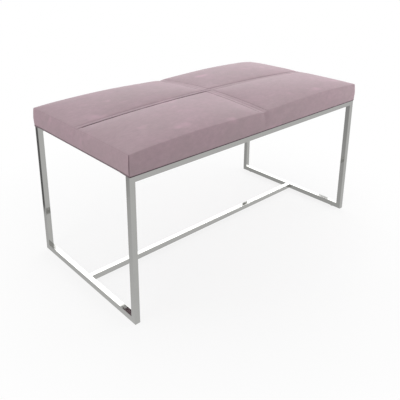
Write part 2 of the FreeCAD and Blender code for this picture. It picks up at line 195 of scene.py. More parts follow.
def shader_group(name, inputs, outputs):
    """An empty shader node group with the named sockets, and its input and output nodes."""
    tree = bpy.data.node_groups.new(name, "ShaderNodeTree")
    for label, kind, value in inputs:
        socket = tree.interface.new_socket(label, in_out="INPUT", socket_type=kind)
        if value is not None:
            socket.default_value = value
    for label, kind in outputs:
        tree.interface.new_socket(label, in_out="OUTPUT", socket_type=kind)
    return tree, tree.nodes.new("NodeGroupInput"), tree.nodes.new("NodeGroupOutput")


def feed(tree, socket, value):
    """Link an input to another socket, or set it to a plain value."""
    if isinstance(value, bpy.types.NodeSocket):
        tree.links.new(value, socket)
    else:
        socket.default_value = value


def noise(tree, vector, scale, detail, roughness):
    """A noise node on a vector socket; returns its value socket."""
    node = tree.nodes.new("ShaderNodeTexNoise")
    for label, value in (("Vector", vector), ("Scale", scale), ("Detail", detail), ("Roughness", roughness)):
        feed(tree, node.inputs[label], value)
    return node.outputs["Fac"]


def span(tree, value, low, high, to_low=0.0, to_high=1.0):
    """Map a value from one range to another, held within it."""
    node = tree.nodes.new("ShaderNodeMapRange")
    tree.links.new(value, node.inputs["Value"])
    for label, number in (("From Min", low), ("From Max", high), ("To Min", to_low), ("To Max", to_high)):
        node.inputs[label].default_value = number
    return node.outputs["Result"]


def blend(tree, factor, first, second):
    """Mix two colours, each a socket or a plain colour, by a factor socket."""
    node = tree.nodes.new("ShaderNodeMix")
    node.data_type = "RGBA"
    tree.links.new(factor, node.inputs["Factor"])
    sockets = [socket for socket in node.inputs if socket.type == "RGBA"]
    for socket, colour in zip(sockets, (first, second)):
        feed(tree, socket, colour if isinstance(colour, bpy.types.NodeSocket) else (*colour, 1.0))
    return next(socket for socket in node.outputs if socket.type == "RGBA")


def maths(tree, operation, first, second):
    """A Math node on sockets or numbers; returns its value socket."""
    node = tree.nodes.new("ShaderNodeMath")
    node.operation = operation
    feed(tree, node.inputs[0], first)
    feed(tree, node.inputs[1], second)
    return node.outputs["Value"]


def partly(tree, mask, share, tone, colour):
    """Lay a colour over a tone where a mask is set, at a share of its full strength."""
    return blend(tree, maths(tree, "MULTIPLY", mask, share), tone, colour)


def shaded(colour, factor):
    """A colour made darker or lighter by a factor."""
    return tuple(min(1.0, part * factor) for part in colour)


def mapped(tree, vector, scale, location=(0.0, 0.0, 0.0)):
    """Stretch and move the coordinates of a pattern."""
    node = tree.nodes.new("ShaderNodeMapping")
    node.inputs["Scale"].default_value = scale
    node.inputs["Location"].default_value = location
    tree.links.new(vector, node.inputs["Vector"])
    return node.outputs["Vector"]


def axes(tree, vector):
    """The X, Y and Z sockets of a vector."""
    node = tree.nodes.new("ShaderNodeSeparateXYZ")
    tree.links.new(vector, node.inputs["Vector"])
    return node.outputs


def mottle_group():
    """Soft patches at two scales, for cloth, plating and plastic."""
    name = "soft_mottle"
    if name in bpy.data.node_groups:
        return bpy.data.node_groups[name]
    tree, source, sink = shader_group(
        name,
        (("Vector", "NodeSocketVector", None), ("Broad Scale", "NodeSocketFloat", 8.0),
         ("Fine Scale", "NodeSocketFloat", 60.0)),
        (("Broad", "NodeSocketFloat"), ("Fine", "NodeSocketFloat")))
    broad = noise(tree, source.outputs["Vector"], source.outputs["Broad Scale"], 2.0, 0.45)
    fine = noise(tree, source.outputs["Vector"], source.outputs["Fine Scale"], 4.0, 0.6)
    tree.links.new(span(tree, broad, 0.36, 0.66), sink.inputs["Broad"])
    tree.links.new(span(tree, fine, 0.3, 0.7), sink.inputs["Fine"])
    return tree


def nap_group():
    """The fine pebbled relief of a soft hide or felt, as a height."""
    name = "fine_nap"
    if name in bpy.data.node_groups:
        return bpy.data.node_groups[name]
    tree, source, sink = shader_group(
        name,
        (("Vector", "NodeSocketVector", None), ("Scale", "NodeSocketFloat", 700.0)),
        (("Height", "NodeSocketFloat"), ("Pores", "NodeSocketFloat")))
    pebble = tree.nodes.new("ShaderNodeTexVoronoi")
    pebble.feature = "F1"
    tree.links.new(source.outputs["Vector"], pebble.inputs["Vector"])
    tree.links.new(source.outputs["Scale"], pebble.inputs["Scale"])
    fibre = noise(tree, source.outputs["Vector"],
                  maths(tree, "MULTIPLY", source.outputs["Scale"], 2.2), 2.0, 0.6)
    height = maths(tree, "ADD", maths(tree, "MULTIPLY", pebble.outputs["Distance"], 0.6),
                   maths(tree, "MULTIPLY", fibre, 0.4))
    tree.links.new(height, sink.inputs["Height"])
    tree.links.new(span(tree, pebble.outputs["Distance"], 0.55, 0.95), sink.inputs["Pores"])
    return tree


def place_group(tree, group, vector, **values):
    """Put a shared group in a material, feed it a vector and set its numbers."""
    node = tree.nodes.new("ShaderNodeGroup")
    node.node_tree = group
    tree.links.new(vector, node.inputs["Vector"])
    for label, value in values.items():
        node.inputs[label.replace("_", " ")].default_value = value
    return node


def new_material(name, **settings):
    """A material with one Principled shader, its constants set, and Object coordinates."""
    material = bpy.data.materials.new(name)
    material.use_nodes = True
    tree = material.node_tree
    shader = tree.nodes["Principled BSDF"]
    for label, value in settings.items():
        shader.inputs[label.replace("_", " ")].default_value = value
    where = tree.nodes.new("ShaderNodeTexCoord").outputs["Object"]
    return material, tree, shader, where


def surface(tree, shader, tone, mask, smooth, rough):
    """Feed a tone to the shader's colour, and a mask to its roughness, between two values."""
    tree.links.new(tone, shader.inputs["Base Color"])
    tree.links.new(span(tree, mask, 0.0, 1.0, smooth, rough), shader.inputs["Roughness"])


def bump(tree, shader, height, strength, distance):
    """Feed a height to the shader's normal."""
    node = tree.nodes.new("ShaderNodeBump")
    node.inputs["Strength"].default_value = strength
    node.inputs["Distance"].default_value = distance
    tree.links.new(height, node.inputs["Height"])
    tree.links.new(node.outputs["Normal"], shader.inputs["Normal"])


def cover_material(colours):
    """Soft matt mauve hide: broad blush and greyer patches, fine nap, a slight sheen; painted shade darkens it in
    the seams, corners, top edges, lower rolls and bands.
    """
    material, tree, shader, where = new_material(
        "mauve_cover", Sheen_Weight=0.18, Sheen_Roughness=0.45, Specular_IOR_Level=0.3)
    shader.inputs["Sheen Tint"].default_value = (0.95, 0.82, 0.88, 1.0)
    patches = place_group(tree, mottle_group(), where, Broad_Scale=7.5, Fine_Scale=38.0)
    streaks = mapped(tree, where, (1.0, 1.7, 1.3), (0.31, 0.17, 0.0))
    blush = place_group(tree, mottle_group(), streaks, Broad_Scale=9.0, Fine_Scale=90.0)
    drawn = mapped(tree, where, (0.65, 1.25, 1.1))
    rubbed = place_group(tree, mottle_group(), drawn, Broad_Scale=34.0, Fine_Scale=110.0)
    nap = place_group(tree, nap_group(), where, Scale=950.0)
    tone = blend(tree, patches.outputs["Broad"], colours.cover_shade, colours.cover)
    tone = partly(tree, blush.outputs["Broad"], 0.22, tone, colours.cover_blush)
    tone = partly(tree, patches.outputs["Fine"], 0.42, tone, shaded(colours.cover_shade, 0.88))
    tone = partly(tree, rubbed.outputs["Broad"], 0.18, tone, colours.cover_blush)
    tone = partly(tree, rubbed.outputs["Fine"], 0.48, tone, shaded(colours.cover_shade, 0.85))
    scuffs = noise(tree, streaks, 11.0, 2.5, 0.5)
    tone = blend(tree, span(tree, scuffs, 0.62, 0.78, 0.0, 0.95), tone, colours.cover_blush)
    tone = partly(tree, nap.outputs["Pores"], 0.10, tone, shaded(colours.cover, 0.55))
    # Painted shade: the seam_shade attribute darkens the cover towards a tenth of its colour in the seams, corners,
    # top edges, lower rolls and bands
    seams = tree.nodes.new("ShaderNodeAttribute")
    seams.attribute_name = "seam_shade"
    tone = blend(tree, span(tree, seams.outputs["Fac"], 0.05, 0.75, 0.0, 0.94), tone, shaded(colours.cover, 0.10))
    surface(tree, shader, tone, blush.outputs["Fine"], 0.62, 0.78)
    bump(tree, shader, nap.outputs["Height"], 0.3, 0.5 * MM)
    return material


def thread_material(colours):
    """Twisted sewing thread."""
    material, tree, shader, where = new_material("seam_thread", Sheen_Weight=0.1, Specular_IOR_Level=0.35)
    twist = tree.nodes.new("ShaderNodeTexWave")
    twist.wave_type = "BANDS"
    twist.bands_direction = "DIAGONAL"
    twist.inputs["Scale"].default_value = 420.0
    tree.links.new(where, twist.inputs["Vector"])
    patches = place_group(tree, mottle_group(), where, Broad_Scale=30.0, Fine_Scale=600.0)
    tone = blend(tree, patches.outputs["Fine"], shaded(colours.thread, 0.88), shaded(colours.thread, 1.12))
    surface(tree, shader, tone, patches.outputs["Broad"], 0.5, 0.62)
    bump(tree, shader, twist.outputs["Fac"], 0.4, 0.2 * MM)
    return material


def chrome_material(colours):
    """Mirror plating with faint handling smudges and a hint of polishing grain."""
    material, tree, shader, where = new_material("mirror_plating", Metallic=1.0)
    smudge = place_group(tree, mottle_group(), where, Broad_Scale=14.0, Fine_Scale=120.0)
    marks = maths(tree, "MULTIPLY", smudge.outputs["Broad"], smudge.outputs["Fine"])
    tone = blend(tree, marks, colours.chrome, shaded(colours.chrome, 0.95))
    surface(tree, shader, tone, marks, 0.035, 0.10)
    grain = noise(tree, where, 900.0, 2.0, 0.6)
    bump(tree, shader, grain, 0.012, 0.2 * MM)
    return material


def nylon_material(colours):
    """Moulded plastic with a satin skin, scuffed where it meets the floor."""
    material, tree, shader, where = new_material("glide_plastic", Specular_IOR_Level=0.45)
    patches = place_group(tree, mottle_group(), where, Broad_Scale=160.0, Fine_Scale=900.0)
    near_floor = span(tree, axes(tree, where)["Z"], 0.0, 1.2 * MM, 1.0, 0.0)
    scuff = maths(tree, "MULTIPLY", near_floor, patches.outputs["Fine"])
    tone = blend(tree, scuff, colours.nylon, shaded(colours.nylon, 0.55))
    surface(tree, shader, tone, patches.outputs["Broad"], 0.42, 0.55)
    bump(tree, shader, patches.outputs["Fine"], 0.15, 0.1 * MM)
    return material


def zinc_material(colours):
    """Zinc plating with a cloudy, slightly warm bloom."""
    name = "zinc_fastener"
    if name in bpy.data.materials:
        return bpy.data.materials[name]
    material, tree, shader, where = new_material(name, Metallic=1.0)
    bloom = place_group(tree, mottle_group(), where, Broad_Scale=180.0, Fine_Scale=1400.0)
    warm = [part * share for part, share in zip(colours.zinc, (0.92, 0.88, 0.76))]
    tone = blend(tree, bloom.outputs["Broad"], colours.zinc, warm)
    surface(tree, shader, tone, bloom.outputs["Fine"], 0.28, 0.46)
    bump(tree, shader, bloom.outputs["Fine"], 0.1, 0.1 * MM)
    return material


def plywood_material(colours):
    """Sanded face veneer with drawn-out grain, and plies on the edges."""
    material, tree, shader, where = new_material("deck_plywood", Specular_IOR_Level=0.25)
    along = mapped(tree, where, (1.2, 26.0, 26.0))
    figure = place_group(tree, mottle_group(), along, Broad_Scale=1.6, Fine_Scale=14.0)
    plies = maths(tree, "PINGPONG", axes(tree, where)["Z"], 2.5 * MM)
    tone = blend(tree, figure.outputs["Broad"], colours.veneer, shaded(colours.veneer, 0.72))
    tone = partly(tree, figure.outputs["Fine"], 0.3, tone, shaded(colours.veneer, 0.5))
    tone = blend(tree, span(tree, plies, 0.8 * MM, 1.6 * MM, 0.0, 0.22), tone, shaded(colours.veneer, 0.45))
    surface(tree, shader, tone, figure.outputs["Fine"], 0.6, 0.75)
    bump(tree, shader, figure.outputs["Fine"], 0.15, 0.4 * MM)
    return material


def lining_material(colours):
    """Thin non-woven lining with its pressed dot pattern."""
    material, tree, shader, where = new_material("matched_lining", Sheen_Weight=0.08, Specular_IOR_Level=0.2)
    dots = tree.nodes.new("ShaderNodeTexVoronoi")
    dots.inputs["Scale"].default_value = 420.0
    dots.inputs["Randomness"].default_value = 0.25
    tree.links.new(where, dots.inputs["Vector"])
    fibres = place_group(tree, nap_group(), where, Scale=1500.0)
    patches = place_group(tree, mottle_group(), where, Broad_Scale=10.0, Fine_Scale=200.0)
    press = span(tree, dots.outputs["Distance"], 0.2, 0.45)
    tone = blend(tree, press, shaded(colours.lining, 0.72), colours.lining)
    tone = partly(tree, patches.outputs["Fine"], 0.35, tone, shaded(colours.lining, 0.7))
    surface(tree, shader, tone, press, 0.7, 0.92)
    bump(tree, shader, maths(tree, "ADD", press, fibres.outputs["Height"]), 0.35, 0.2 * MM)
    return material


# Helpers for meshes

def clear_selection():
    """Leave object mode's selection empty."""
    if bpy.context.object and bpy.context.object.mode != "OBJECT":
        bpy.ops.object.mode_set(mode="OBJECT")
    bpy.ops.object.select_all(action="DESELECT")


def make_active(piece):
    """Select one object and make it active."""
    clear_selection()
    piece.select_set(True)
    bpy.context.view_layer.objects.active = piece


def mesh_object(name, points, faces):
    """A mesh object at the origin from points in metres and faces."""
    mesh = bpy.data.meshes.new(name)
    mesh.from_pydata([tuple(p) for p in points], [], [tuple(f) for f in faces])
    mesh.update()
    piece = bpy.data.objects.new(name, mesh)
    bpy.context.scene.collection.objects.link(piece)
    return piece


def coordinates(piece):
    """The piece's points as an array."""
    flat = np.zeros(len(piece.data.vertices) * 3)
    piece.data.vertices.foreach_get("co", flat)
    return flat.reshape(-1, 3)


def set_coordinates(piece, points):
    """Write an array of points back to the piece."""
    piece.data.vertices.foreach_set("co", np.ascontiguousarray(points, dtype=np.float32).ravel())
    piece.data.update()


def take_shape(piece):
    """The points and faces of a shaped primitive, which is then removed."""
    shape = coordinates(piece), [tuple(face.vertices) for face in piece.data.polygons]
    bpy.data.objects.remove(piece)
    return shape


def copies(name, shape, places):
    """One object that holds a copy of a shape at each place, given as rows of axes and a centre."""
    points, faces = shape
    all_points = np.concatenate([points @ turn + centre for turn, centre in places])
    all_faces = [[corner + k * len(points) for corner in face] for k in range(len(places)) for face in faces]
    return mesh_object(name, all_points, all_faces)


def finish_piece(piece, material):
    """Give the piece its finish and let it ride on the bench."""
    piece.data.materials.clear()
    piece.data.materials.append(material)
    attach(piece, "root")


# The seat's form, in metres above the rails

def pit(distance, width):
    """A smooth bump, 1 at no distance and nearly 0 past twice its width."""
    return np.exp(-(distance / width) ** 2)


def grid_lines(half, cell, seam):
    """Lines of the cloth mesh from edge to edge: close by the seam and by the edges."""
    near = sorted({round(mm * MM, 6) for mm in (*MIDDLE_LINES, *(seam / MM + mm for mm in SEAM_LINES))})
    last = [half - mm * MM for mm in EDGE_LINES]
    count = max(1, round((last[0] - near[-1]) / cell))
    between = [near[-1] + (last[0] - near[-1]) * k / count for k in range(1, count)]
    lines = near + between + last
    return np.array([-place for place in reversed(lines[1:])] + lines)


def long_edge(x, half):
    """Height of the front and rear top edges: two shallow arches with a notch between them."""
    x = np.abs(x)
    beyond = np.clip(x - ARCH_AT, 0, None) / (half - ARCH_AT)
    outer = EDGE_HEIGHT + (ARCH_HEIGHT - EDGE_HEIGHT) * (1 - beyond ** 2)
    inner = NOTCH_HEIGHT + (ARCH_HEIGHT - NOTCH_HEIGHT) * (1 - (1 - np.clip(x / ARCH_AT, 0, 1)) ** 1.6)
    return (np.where(x > ARCH_AT, outer, inner) - 2.2 * pit(x, 12 * MM)) * MM


def end_edge(y, half):
    """Height of the end top edges, drawn down a little at the seam."""
    return (EDGE_HEIGHT + 1.8 * (1 - np.clip(np.abs(y) / half, 0, 1) ** 2) - 1.8 * pit(y, 30 * MM)) * MM


def long_seam(x, half):
    """Height of the lengthwise seam."""
    return (EDGE_HEIGHT + (MIDDLE_HEIGHT - EDGE_HEIGHT) * (1 - np.clip(np.abs(x) / half, 0, 1) ** 2.1)) * MM


def cross_seam(y, half):
    """Height of the cross seam."""
    return (NOTCH_HEIGHT + (MIDDLE_HEIGHT - NOTCH_HEIGHT) * (1 - np.clip(np.abs(y) / half, 0, 1) ** 1.8)) * MM


def crown(x, y, sizes):
    """Height of the top over the rails: four filled panels between the edges and flat seams."""
    half_x, half_y = sizes.half_length, sizes.half_depth
    ax, ay = np.abs(x), np.abs(y)
    u, v = np.clip(ax / half_x, 0, 1), np.clip(ay / half_y, 0, 1)
    corners = ((1 - u) * (1 - v) * MIDDLE_HEIGHT + (1 - u) * v * NOTCH_HEIGHT + u * EDGE_HEIGHT) * MM
    level = ((1 - v) * long_seam(ax, half_x) + v * long_edge(ax, half_x)
             + (1 - u) * cross_seam(ay, half_y) + u * end_edge(ay, half_y) - corners)
    across = np.clip((ax - sizes.cross_band) / (half_x - sizes.cross_band), 0, 1)
    along = np.clip((ay - sizes.long_band) / (half_y - sizes.long_band), 0, 1)
    hump = 4 * across * (1 - across) * (4 * along * (1 - along)) ** 0.78
    return level + sizes.panel_fill * hump ** 0.8


def round_corner(x, y, half_x, half_y, radius):
    """Move points of a rectangle so that its corners are rounded in plan."""
    p = np.clip((np.abs(x) - (half_x - radius)) / radius, 0, None)
    q = np.clip((np.abs(y) - (half_y - radius)) / radius, 0, None)
    inside = (p > 0) & (q > 0)
    new_p = p * np.sqrt(np.clip(1 - q * q / 2, 0, 1))
    new_q = q * np.sqrt(np.clip(1 - p * p / 2, 0, 1))
    nx = np.where(inside, np.sign(x) * (half_x - radius + new_p * radius), x)
    ny = np.where(inside, np.sign(y) * (half_y - radius + new_q * radius), y)
    return nx, ny


def seam_shift(y):
    """How far the lengthwise seam lies in front of the middle."""
    return -1.5 * MM * pit(y, 50 * MM)


def cover_top(sizes):
    """The sewn top before it is filled: its flat places along and across, and its points."""
    half_x, half_y = sizes.half_length, sizes.half_depth
    flat_x, flat_y = np.meshgrid(grid_lines(half_x, sizes.cell, sizes.cross_band),
                                 grid_lines(half_y, sizes.cell, sizes.long_band), indexing="ij")
    to_end, to_long = half_x - np.abs(flat_x), half_y - np.abs(flat_y)
    height = crown(flat_x, flat_y, sizes)
    height -= 0.9 * MM * np.clip(1 - np.minimum(to_end, to_long) / (5 * MM), 0, 1) ** 2
    corner_drop = np.where((flat_x > 0) & (flat_y > 0), 2.4, 0.8) * MM
    height -= corner_drop * pit(np.hypot(to_end, to_long), 30 * MM)
    x, y = round_corner(flat_x, flat_y, half_x, half_y, sizes.corner_radius)
    return flat_x, flat_y, np.stack([x, y + seam_shift(flat_y), RAIL_TOP + height], axis=-1)


def outward(flat_x, flat_y, edge, sizes):
    """Unit vectors in plan that point out of the seat all round its rim."""
    straight_x, straight_y = sizes.half_length - sizes.corner_radius, sizes.half_depth - sizes.corner_radius
    rounded = (np.abs(flat_x) > straight_x) & (np.abs(flat_y) > straight_y)
    on_end = np.abs(flat_x) > sizes.half_length - SAME
    on_long = np.abs(flat_y) > sizes.half_depth - SAME
    out_x = np.sign(flat_x) * np.where(rounded, np.abs(edge[:, 0]) - straight_x, on_end)
    out_y = np.sign(flat_y) * np.where(rounded, np.abs(edge[:, 1]) - straight_y, on_long)
    length = np.hypot(out_x, out_y)
    return out_x / length, out_y / length


def side_rings(rim, from_corner, on_end, sizes):
    """Rings of the bands and the lower roll: mark, reach out from the rim and height above the rails."""
    roll = 3.4 * MM
    slack = 1.0 - 0.55 * pit(from_corner, 45 * MM)
    rings = []
    for mark in BAND_MARKS:
        seam_out = (0.6 if mark > 0.5 else 1.6) * MM
        swell = 1 - (abs(mark - 0.5) / 0.5) ** 2.1
        rings.append((mark, seam_out + (sizes.side_bulge - seam_out) * swell * slack, roll + (rim - roll) * mark))
    lift = 2.6 * MM * np.where(on_end, np.clip(from_corner / (40 * MM), 0, 1), 0.0)
    for mark, out, height in LOWER_ROLL:
        rings.append((mark, out * MM, height * MM + lift * (mark > ROLL_FOOT)))
    return rings


def build_cover(sizes):
    """The sewn cover before it is filled: a closed mesh, and a note of where each point lies on it."""
    grid_x, grid_y, top = cover_top(sizes)
    index = np.arange(grid_x.size).reshape(grid_x.shape)
    faces = np.stack([index[:-1, :-1], index[1:, :-1], index[1:, 1:], index[:-1, 1:]], axis=-1)
    faces = faces.reshape(-1, 4).tolist()
    ring = np.concatenate([index[:-1, 0], index[-1, :-1], index[:0:-1, -1], index[0, :0:-1]])
    flat_x, flat_y, edge = grid_x.ravel()[ring], grid_y.ravel()[ring], top.reshape(-1, 3)[ring]
    out_x, out_y = outward(flat_x, flat_y, edge, sizes)
    on_end = np.abs(flat_x) > sizes.half_length - SAME
    from_corner = np.where(on_end, sizes.half_depth - np.abs(flat_y), sizes.half_length - np.abs(flat_x))
    layers = [(mark, edge[:, 0] + out_x * out, edge[:, 1] + out_y * out, height)
              for mark, out, height in side_rings(edge[:, 2] - RAIL_TOP, from_corner, on_end, sizes)]
    deck_top = DECK_HIGH.z - RAIL_TOP
    under = [(gap, height * MM) for gap, height in UNDERSIDE]
    under += [(gap, deck_top + height * MM) for gap, height in HOLLOW_TOP]
    layers += [(UNDER_MARK, flat_x / sizes.half_length * (DECK_HIGH.x + gap * MM),
                flat_y / sizes.half_depth * (DECK_HIGH.y + gap * MM), height) for gap, height in under]
    points = [top.reshape(-1, 3)]
    notes = [np.stack([grid_x, grid_y, np.full_like(grid_x, TOP_MARK)], axis=-1).reshape(-1, 3)]
    last = ring
    for k, (mark, x, y, height) in enumerate(layers):
        points.append(np.stack([x, y, np.full_like(x, RAIL_TOP + height)], axis=-1))
        notes.append(np.stack([flat_x, flat_y, np.full_like(flat_x, mark)], axis=-1))
        now = np.arange(len(ring)) + grid_x.size + k * len(ring)
        faces += zip(last, now, np.roll(now, -1), np.roll(last, -1))
        last = now
    faces.append(last[::-1])
    return np.concatenate(points), faces, np.concatenate(notes)


def rim_places(notes, sizes):
    """Which points lie on the ends' rims, and which of them at the upright corners."""
    on_end = np.abs(notes[:, 0]) > sizes.half_length - SAME
    return on_end, on_end & (np.abs(notes[:, 1]) > sizes.half_depth - SAME)


def sewn_points(notes, sizes):
    """Numbers of the points that are held: seams, edges, corners and all below the bands."""
    x, y, mark = np.abs(notes[:, 0]), np.abs(notes[:, 1]), notes[:, 2]
    seams = (x < sizes.cross_band + SAME) | (y < sizes.long_band + SAME)
    edges = (x > sizes.half_length - SAME) | (y > sizes.half_depth - SAME)
    held = (mark >= TOP_MARK) & (seams | edges) | (mark < SEWN_MARK) | rim_places(notes, sizes)[1]
    return np.nonzero(held)[0].tolist()


def inflate(piece, held, sizes):
    """Fill the cover with pressure, gravity off, and cap how far each point moved."""
    before = coordinates(piece)
    piece.vertex_groups.new(name="sewn").add(held, 1.0, "REPLACE")
    make_active(piece)
    cloth = piece.modifiers.new("Cloth", "CLOTH")
    settings = cloth.settings
    settings.quality = 4
    settings.mass = 0.25
    settings.tension_stiffness = 18.0
    settings.compression_stiffness = 18.0
    settings.shear_stiffness = 6.0
    settings.bending_stiffness = 1.0
    settings.use_pressure = True
    settings.uniform_pressure_force = sizes.pressure
    settings.vertex_group_mass = "sewn"
    settings.effector_weights.gravity = 0.0
    cloth.collision_settings.use_collision = False
    cloth.point_cache.frame_start = 1
    cloth.point_cache.frame_end = FILL_FRAMES
    scene = bpy.context.scene
    for step in range(1, FILL_FRAMES + 1):
        scene.frame_set(step)
    bpy.ops.object.modifier_apply(modifier="Cloth")
    scene.frame_set(1)
    piece.vertex_groups.clear()
    moved = coordinates(piece) - before
    length = np.maximum(np.linalg.norm(moved, axis=1), 1e-9)
    share = sizes.swell * np.tanh(length / sizes.swell) / length
    set_coordinates(piece, before + moved * share[:, None])


def left_half(x):
    """1 on the left of the seat and 0 on the right, where the lengthwise seam is softer."""
    return 1 / (1 + np.exp((x + 10 * MM) / (9 * MM)))


def seam_rows(x, y, sizes):
    """How deep each point lies in the sewn rows, and in the joins between panels, from 0 to 1; the same numbers set
    the shade painted there.
    """
    left, front = left_half(x), 1 / (1 + np.exp(y / (6 * MM)))
    from_end = np.clip((sizes.half_length - np.abs(x)) / (16 * MM), 0, 1)
    front_row = pit(y + sizes.long_band, 1.9 * MM) * (0.25 + 0.75 * left) * (0.3 + 0.7 * from_end)
    rear_row = pit(y - sizes.long_band, 2.2 * MM) * (0.40 - 0.10 * left)
    cross_rows = pit(np.abs(x) - sizes.cross_band, 1.5 * MM) * (0.13 + 0.09 * front)
    joins = np.maximum(pit(x, 1.3 * MM), pit(y, 1.3 * MM))
    return np.maximum(np.maximum(front_row, rear_row), cross_rows), joins


def puckers(x, y, sizes):
    """Uneven gathers of the cover beside both seams, from 0 to 1."""
    ax, ay = np.abs(x), np.abs(y)
    wave_x = np.sin(2 * np.pi * x / 0.029 + 3 * np.sin(x / 0.083)) * np.sin(2 * np.pi * x / 0.071 + 1.3)
    wave_y = np.sin(2 * np.pi * y / 0.027 + 2 * np.sin(y / 0.071)) * np.sin(2 * np.pi * y / 0.064 + 0.6)
    by_long = pit(ay - sizes.long_band, PUCKER_REACH) * (ay > sizes.long_band)
    by_cross = pit(ax - sizes.cross_band, PUCKER_REACH) * (ax > sizes.cross_band)
    return (0.5 + 0.5 * wave_x) * by_long + (0.5 + 0.5 * wave_y) * by_cross


def press_seams(points, notes, sizes):
    """Press the seams, puckers, dimples and corners into the filled cover; returns the shade painted on each point.
    """
    x, y, mark = notes.T
    on_top = mark >= TOP_MARK
    on_band = (mark > 0) & ~on_top
    on_end, corner = rim_places(notes, sizes)
    to_edge = np.minimum(sizes.half_length - np.abs(x), sizes.half_depth - np.abs(y))
    rows, joins = seam_rows(x, y, sizes)
    gathers = PUCKER_DEPTH * puckers(x, y, sizes) * np.clip(to_edge / (30 * MM), 0, 1)
    points[:, 2] -= np.where(on_top, ROW_DEPTH * rows + JOIN_DEPTH * joins + gathers, 0.0)
    fade = np.where(on_band, np.clip(mark, 0, 1) ** 0.8, 0.0)
    points[:, 0] -= np.where(on_end, np.sign(x) * END_DIMPLE * pit(y, 11 * MM) * fade, 0.0)
    points[:, 1] -= np.where(on_end, 0.0, np.sign(y) * LONG_DIMPLE * pit(x, 11 * MM) * fade)
    upright = corner & (mark > 0)
    points[upright, :2] -= np.sign(notes[upright, :2]) * CORNER_DEPTH

    # Painted shade: darker in the sewn rows, the joins, the crease on the left half, the upright corners, the top
    # edges, the lower rolls and the bands and their folds
    start = np.clip((x + sizes.half_length - 6 * MM) / (14 * MM), 0, 1)
    crease = pit(y + sizes.long_band - 0.3 * MM, 2.5 * MM) * left_half(x) * start
    shade = np.where(on_top, np.maximum.reduce([rows ** 1.3, 0.15 * joins, crease]), 0.0)
    shade = np.where(upright, CORNER_SHADE, shade)
    shade = np.where(on_top & (to_edge < SAME), np.maximum(shade, BRIM_SHADE), shade)
    shade = np.where((mark < ROLL_START) & (mark > ROLL_FOOT), ROLL_SHADE, shade)
    shade = np.where(on_end & (mark < 0) & (mark > ROLL_FOOT), END_ROLL_SHADE, shade)
    fold = np.where(on_end, pit(y, 6 * MM), pit(x - 2 * MM, 6 * MM)) * fade
    return np.where(on_band & ~corner, BAND_SHADE + FOLD_SHADE * fold, shade)


class BENCH_OT_seat_cushion(bpy.types.Operator):
    """Make the padded seat: sewn cover, filled by a cloth simulation, with its seams pressed in"""
    bl_idname = "bench.seat_cushion"
    bl_label = "Seat Cushion"

    def execute(self, context):
        sizes = context.scene.bench_seat
        points, faces, notes = build_cover(sizes)
        cushion = mesh_object("seat_cushion", points, faces)
        inflate(cushion, sewn_points(notes, sizes), sizes)
        points = coordinates(cushion)
        shade = press_seams(points, notes, sizes)
        set_coordinates(cushion, points)
        # The shade painted on the cover, kept on its points for the cover's material
        painted_shade = cushion.data.attributes.new("seam_shade", "FLOAT", "POINT")
        painted_shade.data.foreach_set("value", shade.astype(np.float32))
        make_active(cushion)
        smooth = cushion.modifiers.new("Subdivision", "SUBSURF")
        smooth.levels = smooth.render_levels = 1
        smooth.use_limit_surface = False
        bpy.ops.object.modifier_apply(modifier="Subdivision")
        bpy.ops.object.shade_smooth_by_angle(angle=math.radians(60))
        finish_piece(cushion, cover_material(context.scene.bench_colours))
        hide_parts(*COVER_NODES)
        return {"FINISHED"}


def one_stitch(sizes):
    """One stitch of thread along X, modelled once: its points and faces."""
    clear_selection()
    bpy.ops.mesh.primitive_uv_sphere_add(segments=6, ring_count=4, radius=0.5)
    stitch = bpy.context.object
    bpy.ops.object.mode_set(mode="EDIT")
    bpy.ops.mesh.select_all(action="SELECT")
    bpy.ops.transform.rotate(value=math.radians(90), orient_axis="Y", center_override=(0, 0, 0))
    bpy.ops.transform.resize(value=(sizes.stitch_length, sizes.thread, sizes.thread), center_override=(0, 0, 0))
    bpy.ops.object.mode_set(mode="OBJECT")
    return take_shape(stitch)


def cover_under(tree, spot):
    """The point of the cover under a place on a seam."""
    hit = tree.ray_cast(Vector((spot.x, spot.y + seam_shift(spot.y), 1.0)), Vector((0, 0, -1)))[0]
    if hit is None:
        raise RuntimeError("a stitch has no cover under it")
    return hit


class BENCH_OT_seam_stitching(bpy.types.Operator):
    """Lay the rows of stitches along both sides of the two top seams"""
    bl_idname = "bench.seam_stitching"
    bl_label = "Seam Stitching"

    def execute(self, context):
        seat, trim = context.scene.bench_seat, context.scene.bench_trim
        cushion = bpy.data.objects.get("seat_cushion")
        if cushion is None:
            raise RuntimeError("the seat cushion has to be made before its stitching")
        tree = BVHTree.FromObject(cushion, context.evaluated_depsgraph_get())
        rows = [(Vector((1, 0, 0)), Vector((0, side * seat.long_band, 0)), seat.half_length) for side in (-1, 1)]
        rows += [(Vector((0, 1, 0)), Vector((side * seat.cross_band, 0, 0)), seat.half_depth) for side in (-1, 1)]
        places = []
        for along, offset, half in rows:
            count = int((half - STITCH_MARGIN) / trim.stitch_pitch)
            for k in range(-count, count + 1):
                middle = offset + along * (k * trim.stitch_pitch)
                reach = along * (trim.stitch_length / 2)
                first, last = cover_under(tree, middle - reach), cover_under(tree, middle + reach)
                run = (last - first).normalized()
                aside = Vector((0, 0, 1)).cross(run).normalized()
                up = run.cross(aside)
                centre = (first + last) / 2 + up * trim.thread * STITCH_RISE
                places.append((np.array([run, aside, up]), np.array(centre)))
        thread = copies("seam_stitching", one_stitch(trim), places)
        make_active(thread)
        bpy.ops.object.shade_smooth()
        finish_piece(thread, thread_material(context.scene.bench_colours))
        return {"FINISHED"}


